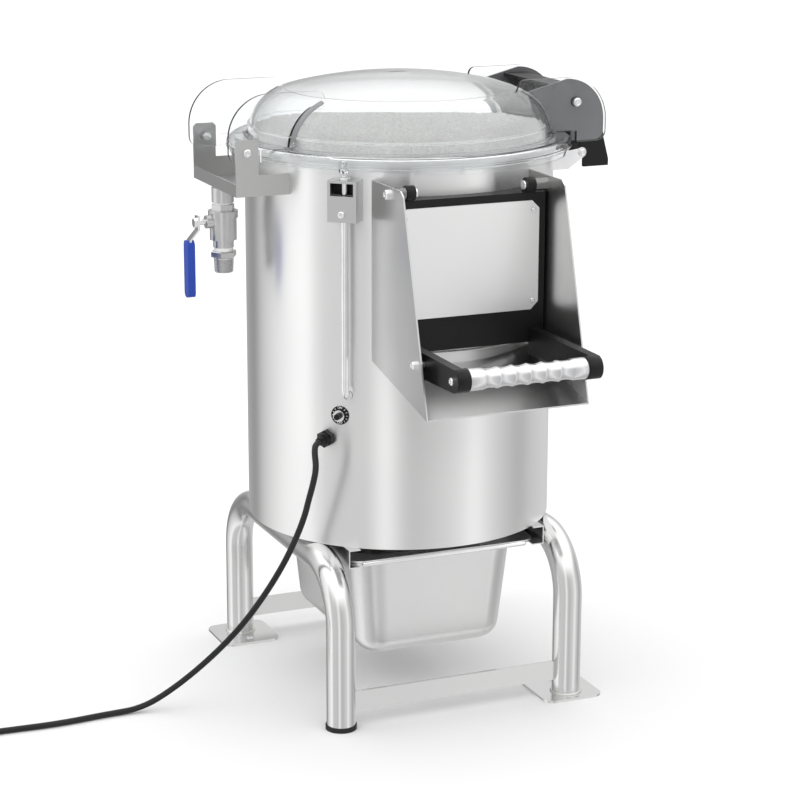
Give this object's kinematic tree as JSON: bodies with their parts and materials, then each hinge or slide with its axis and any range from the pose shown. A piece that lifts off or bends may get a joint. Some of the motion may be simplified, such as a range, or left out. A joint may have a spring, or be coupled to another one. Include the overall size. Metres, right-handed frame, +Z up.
{
  "type": "electric potato peeler",
  "caption": "Floor-standing stainless drum peeler with a clear hinged lid, front discharge door and chute, water valve, mains cord and a slide-in waste pan on a tube stand.",
  "frame": {"origin": "the drum's axis on the floor under the stand", "axes": "+Z up the drum, -Y out of the discharge chute, +X towards the lid handle"},
  "size_m": [0.9835, 0.6345, 0.822],
  "materials": {
    "brushed_steel": "vertical fine brushed stainless sheet",
    "satin_steel": "satin pressed stainless pan",
    "tube_steel": "ground stainless tube",
    "bright_steel": "bright stainless fasteners and rods",
    "clear_plastic": "clear polished polycarbonate",
    "black_moulding": "black moulded nylon, satin",
    "black_rubber": "black rubber",
    "seal_rubber": "pale grey silicone seal",
    "turned_aluminium": "turned and bead-blasted aluminium",
    "cast_aluminium": "cast and machined aluminium",
    "abrasive": "coarse mineral grit in resin",
    "valve_nickel": "nickel plated brass, satin",
    "white_sealing": "white thread sealing tape",
    "blue_dip": "blue dipped vinyl grip",
    "motor_enamel": "grey enamel",
    "cord_sheath": "black flexible cord sheath",
    "plated_brass": "nickel plated brass pins"
  },
  "bodies": {
    "root": {"abrasive_liner": "abrasive", "base_plate": "brushed_steel", "bearing_housing": "cast_aluminium", "cable_gland": "black_moulding", "chamber_floor": "brushed_steel", "cord_coil": "cord_sheath", "cross_bars": "tube_steel", "discharge_chute": "brushed_steel", "door_catch_pins": "bright_steel", "door_hinge_bolts": "bright_steel", "door_hinge_sleeves": "bright_steel", "drain_duct": "brushed_steel", "drive_belt": "black_rubber", "drum_shell": "brushed_steel", "foot_caps": "black_rubber", "foot_plates": "tube_steel", "inlet_socket": "valve_nickel", "interlock_cover": "brushed_steel", "interlock_screw": "bright_steel", "interlock_tube": "bright_steel", "left_leg_tube": "tube_steel", "lid_catch_ears": "bright_steel", "lid_hinge_bolts": "bright_steel", "lid_hinge_bracket": "brushed_steel", "lid_seal": "seal_rubber", "mains_cord": "cord_sheath", "mains_plug": "cord_sheath", "motor": "motor_enamel", "motor_mount": "brushed_steel", "outlet_nipple": "valve_nickel", "pan_runners": "brushed_steel", "plug_lead": "cord_sheath", "plug_pins": "plated_brass", "right_leg_tube": "tube_steel", "switch_bezel": "bright_steel", "switch_legend_ring": "black_moulding", "thread_seals": "white_sealing", "valve_body": "valve_nickel"},
    "lid": {"lid_dome": "clear_plastic", "hinge_wings": "clear_plastic", "handle_wings": "clear_plastic", "lid_handle": "black_moulding", "handle_bolts": "bright_steel"},
    "door": {"door_panel": "black_moulding", "door_face_plate": "brushed_steel", "door_screws": "bright_steel", "door_arms": "black_moulding", "door_grip": "turned_aluminium"},
    "valve_handle": {"valve_stem": "bright_steel", "valve_lever": "bright_steel", "lever_grip": "blue_dip"},
    "interlock": {"interlock_pin": "bright_steel"},
    "power_button": {"switch_button": "black_moulding"},
    "pan": {"waste_pan": "satin_steel"},
    "disc": {"disc_shaft": "bright_steel", "disc_pulley": "cast_aluminium", "abrasive_disc": "abrasive", "disc_nut": "bright_steel"},
    "rotor": {"motor_pulley": "cast_aluminium"}
  },
  "joints": [
    {"name": "lid_hinge", "type": "hinge", "parent": "root", "child": "lid", "pos_m": [-0.2426, 0, 0.7405], "axis": [0, -1, 0], "range_deg": [0, 92]},
    {"name": "door_hinge", "type": "hinge", "parent": "root", "child": "door", "pos_m": [0, -0.225, 0.702], "axis": [-1, 0, 0], "range_deg": [0, 85]},
    {"name": "valve_turn", "type": "hinge", "parent": "root", "child": "valve_handle", "pos_m": [-0.2465, 0, 0.641], "axis": [1, 0, 0], "range_deg": [0, 90]},
    {"name": "interlock_plunge", "type": "slide", "parent": "root", "child": "interlock", "axis": [0, 0, 1], "range_m": [-0.006, 0], "stiffness_N_per_m": 200, "springref_m": 0.004},
    {"name": "power_press", "type": "slide", "parent": "root", "child": "power_button", "axis": [0.6997, 0.7145, 0], "range_m": [0, 0.003], "stiffness_N_per_m": 500, "springref_m": -0.002},
    {"name": "pan_slide", "type": "slide", "parent": "root", "child": "pan", "axis": [0, -1, 0], "range_m": [0, 0.3]},
    {"name": "disc_spin", "type": "hinge", "parent": "root", "child": "disc", "pos_m": [0, 0, 0.47], "axis": [0, 0, 1], "continuous": true},
    {"name": "rotor_spin", "type": "hinge", "parent": "root", "child": "rotor", "pos_m": [0, 0.13, 0.316], "axis": [0, 0, 1], "continuous": true}
  ],
  "couplings": [
    {"joint": "rotor_spin", "follows": "disc_spin", "ratio": 2.643}
  ]
}
